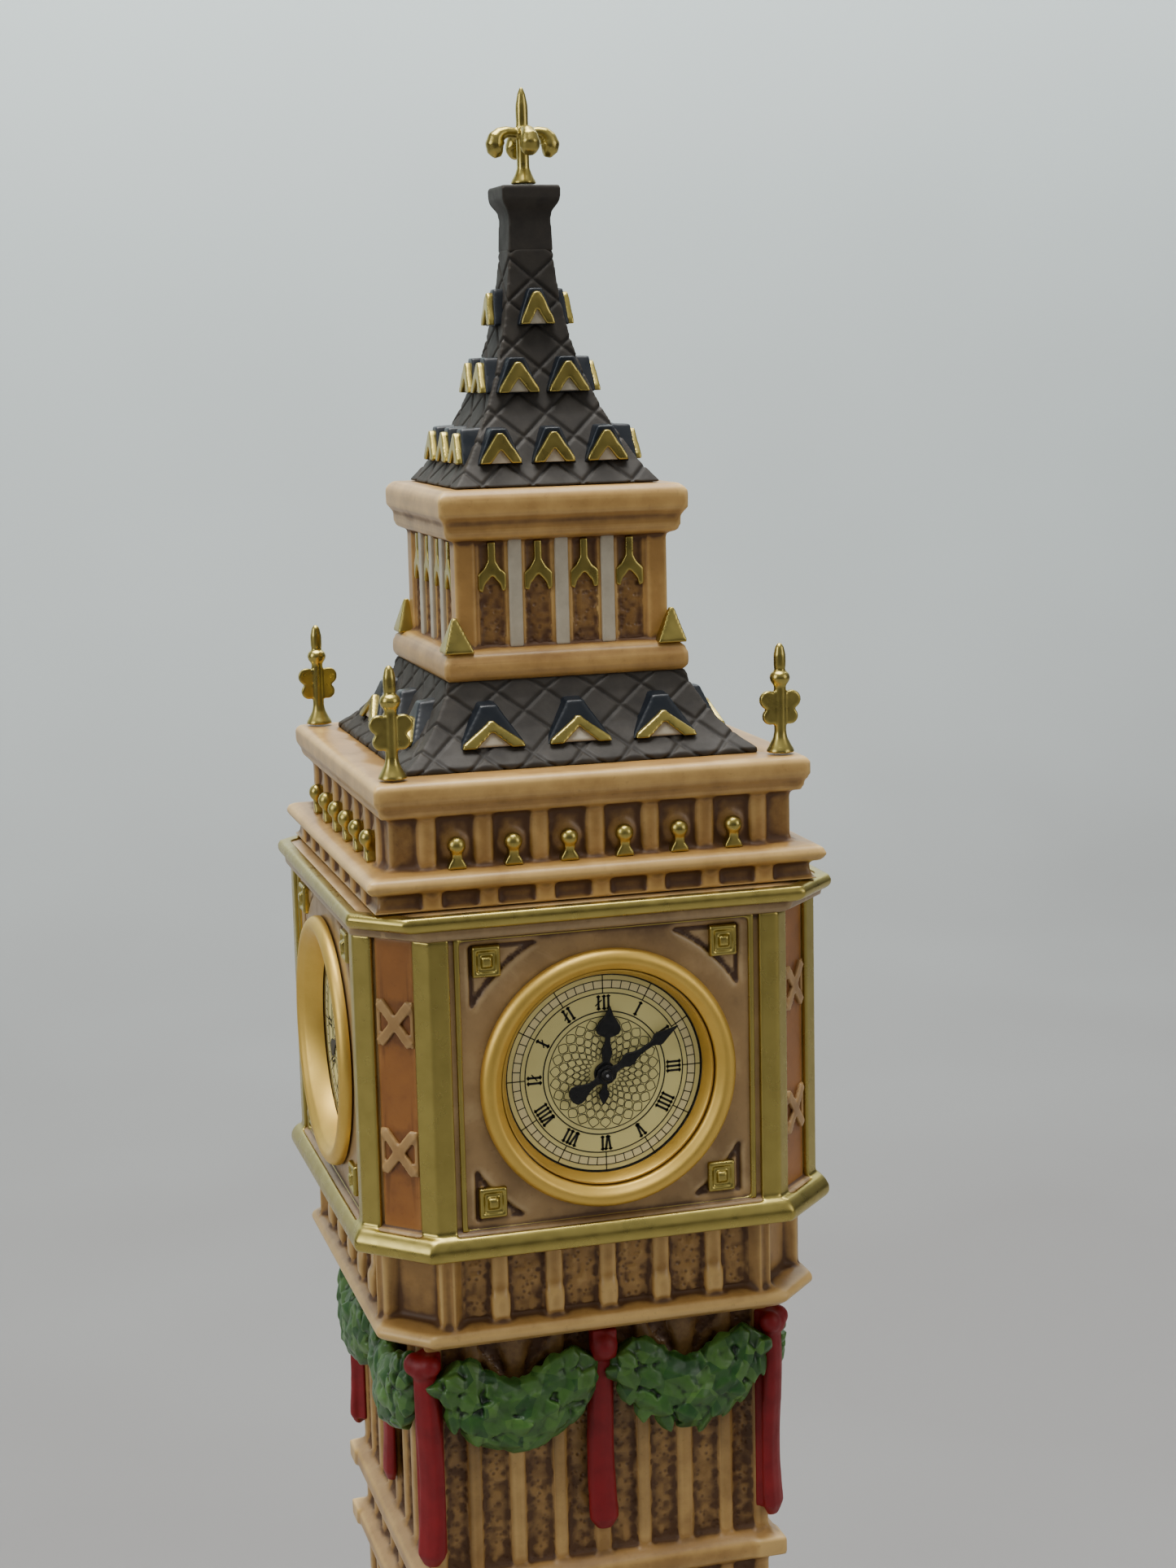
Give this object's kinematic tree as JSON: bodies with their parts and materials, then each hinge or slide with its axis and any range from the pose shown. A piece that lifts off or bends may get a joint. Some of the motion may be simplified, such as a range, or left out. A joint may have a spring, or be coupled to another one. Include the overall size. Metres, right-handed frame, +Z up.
{
  "type": "miniature clock tower",
  "caption": "Miniature porcelain clock tower with a ribbed hollow shaft, gallery, belfry, concave slate roofs, festive garlands and a pull-out battery clock in its front face.",
  "frame": {"origin": "middle of the plinth's foot", "axes": "+Z up the tower; the working clock faces -Y; +X is to the right of a viewer who faces it"},
  "size_m": [0.069, 0.069, 0.3585],
  "materials": {
    "porcelain": "matt-glazed cast porcelain with a brown wash in its hollows",
    "slate": "dark brown painted porcelain, semi-matt",
    "gold": "bright gold paint and plated metal",
    "satin_gold": "satin anodised gold",
    "leaf": "green painted porcelain, semi-gloss",
    "ribbon": "crimson painted porcelain, semi-gloss",
    "dial_paper": "printed dial card",
    "lens": "clear polished",
    "black": "black enamel",
    "case": "moulded, fine texture",
    "gasket": "matt black",
    "brass": "machined",
    "steel": "brushed",
    "board": "solder-masked board",
    "copper": "enamelled winding"
  },
  "bodies": {
    "tower": {"plinth": "porcelain", "lower_shaft": "porcelain", "upper_shaft": "porcelain", "corbel_stage": "porcelain", "clock_stage": "porcelain", "gallery": "porcelain", "lower_roof": "slate", "belfry": "porcelain", "spire_roof": "slate", "spire_cap": "slate", "top_finial": "gold", "finial_front_left": "gold", "finial_front_right": "gold", "finial_back_right": "gold", "finial_back_left": "gold", "ribbon_front_left": "ribbon", "ribbon_front_right": "ribbon", "ribbon_back_right": "ribbon", "ribbon_back_left": "ribbon", "ribbon_front": "ribbon", "ribbon_right": "ribbon", "ribbon_back": "ribbon", "ribbon_left": "ribbon", "garland_front_a": "leaf", "garland_front_b": "leaf", "garland_right_a": "leaf", "garland_right_b": "leaf", "garland_back_a": "leaf", "garland_back_b": "leaf", "garland_left_a": "leaf", "garland_left_b": "leaf", "right_ring": "satin_gold", "right_dial": "dial_paper", "back_ring": "satin_gold", "back_dial": "dial_paper", "left_ring": "satin_gold", "left_dial": "dial_paper"},
    "clock_insert": {"insert_bezel": "satin_gold", "chapter_ring": "satin_gold", "lens": "lens", "dial": "dial_paper", "movement_case": "case", "gasket": "gasket", "rear_cover": "case", "button_cell": "steel", "circuit_board": "board", "motor_coil": "copper"},
    "minute_arbor": {"minute_hand": "black", "cannon_pinion": "steel"},
    "hour_pipe": {"hour_hand": "black", "hour_wheel": "brass"},
    "setting_arbor": {"minute_wheel": "brass", "setting_knob": "black"},
    "hatch": {"battery_hatch": "case"}
  },
  "joints": [
    {"name": "insert_slide", "type": "slide", "parent": "tower", "child": "clock_insert", "axis": [0, -1, 0], "range_m": [0, 0.018]},
    {"name": "minute_turn", "type": "hinge", "parent": "clock_insert", "child": "minute_arbor", "pos_m": [0, -0.0323, 0.225], "axis": [0, 1, 0], "continuous": true},
    {"name": "hour_turn", "type": "hinge", "parent": "clock_insert", "child": "hour_pipe", "pos_m": [0, -0.0323, 0.225], "axis": [0, 1, 0], "continuous": true},
    {"name": "setting_turn", "type": "hinge", "parent": "clock_insert", "child": "setting_arbor", "pos_m": [0.006, -0.0323, 0.225], "axis": [0, 1, 0], "continuous": true},
    {"name": "hatch_pull", "type": "slide", "parent": "clock_insert", "child": "hatch", "axis": [0, 1, 0], "range_m": [0, 0.005]}
  ],
  "couplings": [
    {"joint": "setting_turn", "follows": "minute_turn", "ratio": -0.33333},
    {"joint": "hour_turn", "follows": "minute_turn", "ratio": 0.083333}
  ]
}
